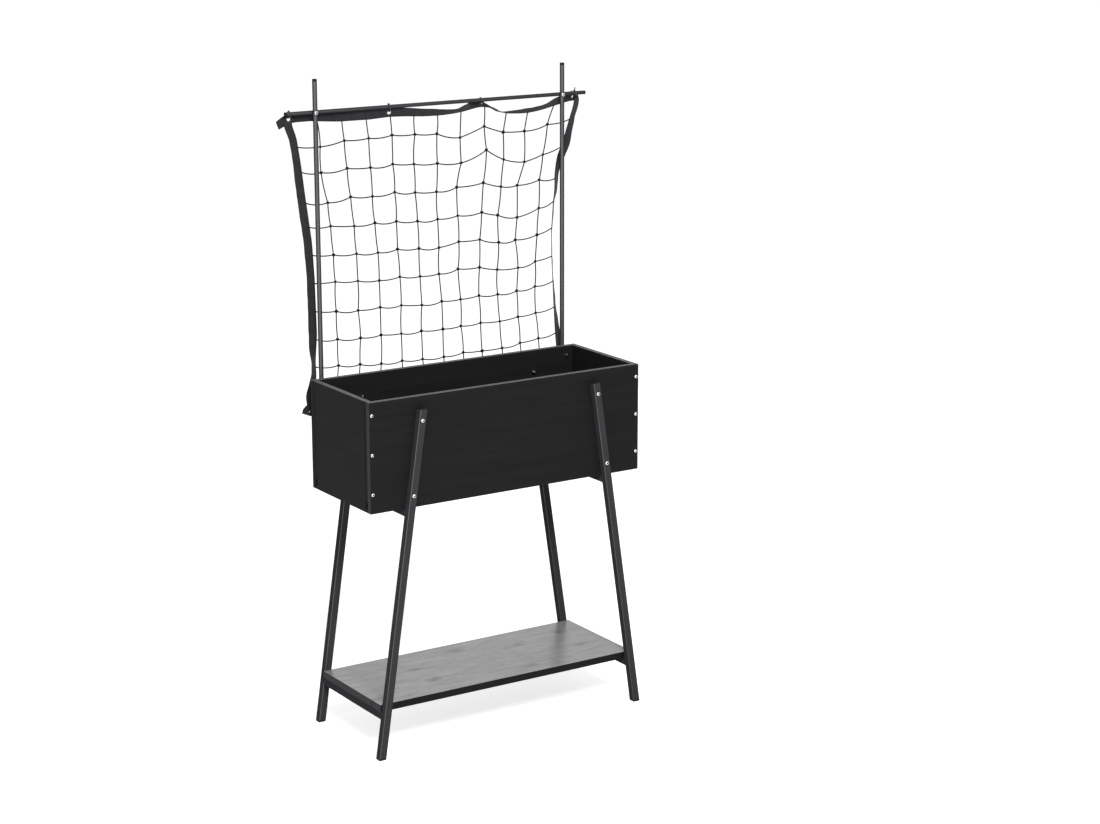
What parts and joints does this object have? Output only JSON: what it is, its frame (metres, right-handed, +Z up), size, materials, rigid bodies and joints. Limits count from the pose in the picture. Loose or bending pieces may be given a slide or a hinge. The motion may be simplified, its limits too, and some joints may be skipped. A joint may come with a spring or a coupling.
{
  "type": "planter with trellis",
  "caption": "Raised rectangular planter box bolted between splayed steel leg frames, with a lower storage shelf and a netted trellis frame standing behind the box.",
  "frame": {"origin": "on the floor, under the middle of the box", "axes": "+X along the box to the right as seen from the front, +Y to the back where the trellis stands, +Z up"},
  "size_m": [0.893, 0.3593, 1.6775],
  "materials": {
    "box_board": "matt black foil on particle board",
    "shelf_board": "satin black-grey wood-grain foil on particle board",
    "frame_steel": "satin black powder coat",
    "cap_plastic": "moulded black polyethylene",
    "bright_zinc": "bright zinc plate",
    "net_twine": "twisted black polyethylene twine",
    "tape_webbing": "woven dark grey polypropylene tape",
    "eyelet_metal": "black-coated pressed eyelet",
    "tie_nylon": "black nylon"
  },
  "bodies": {
    "root": {"back_board": "box_board", "bar_bolt_nuts": "bright_zinc", "bar_bolts": "bright_zinc", "base_board": "box_board", "cable_tie_1": "tie_nylon", "cable_tie_2": "tie_nylon", "cable_tie_3": "tie_nylon", "cable_tie_4": "tie_nylon", "front_board": "box_board", "front_corner_screws": "bright_zinc", "front_left_foot_cap": "cap_plastic", "front_left_leg": "frame_steel", "front_left_top_cap": "cap_plastic", "front_leg_bolts": "bright_zinc", "front_right_foot_cap": "cap_plastic", "front_right_leg": "frame_steel", "front_right_top_cap": "cap_plastic", "left_bar_cap": "cap_plastic", "left_box_rail": "frame_steel", "left_end_board": "box_board", "left_post": "frame_steel", "left_post_cap": "cap_plastic", "left_post_plug": "cap_plastic", "left_shelf_rail": "frame_steel", "leg_bolt_nuts": "bright_zinc", "leg_bolt_washers": "bright_zinc", "net": "net_twine", "net_bottom_tape": "tape_webbing", "net_eyelets": "eyelet_metal", "net_left_tape": "tape_webbing", "net_right_tape": "tape_webbing", "net_top_tape": "tape_webbing", "post_bolt_nuts": "bright_zinc", "post_bolt_washers": "bright_zinc", "post_bolts": "bright_zinc", "rear_corner_screws": "bright_zinc", "rear_left_foot_cap": "cap_plastic", "rear_left_leg": "frame_steel", "rear_left_top_cap": "cap_plastic", "rear_leg_bolts": "bright_zinc", "rear_right_foot_cap": "cap_plastic", "rear_right_leg": "frame_steel", "rear_right_top_cap": "cap_plastic", "right_bar_cap": "cap_plastic", "right_box_rail": "frame_steel", "right_end_board": "box_board", "right_post": "frame_steel", "right_post_cap": "cap_plastic", "right_post_plug": "cap_plastic", "right_shelf_rail": "frame_steel", "shelf_board": "shelf_board", "shelf_screws": "bright_zinc", "top_bar": "frame_steel"}
  },
  "joints": []
}
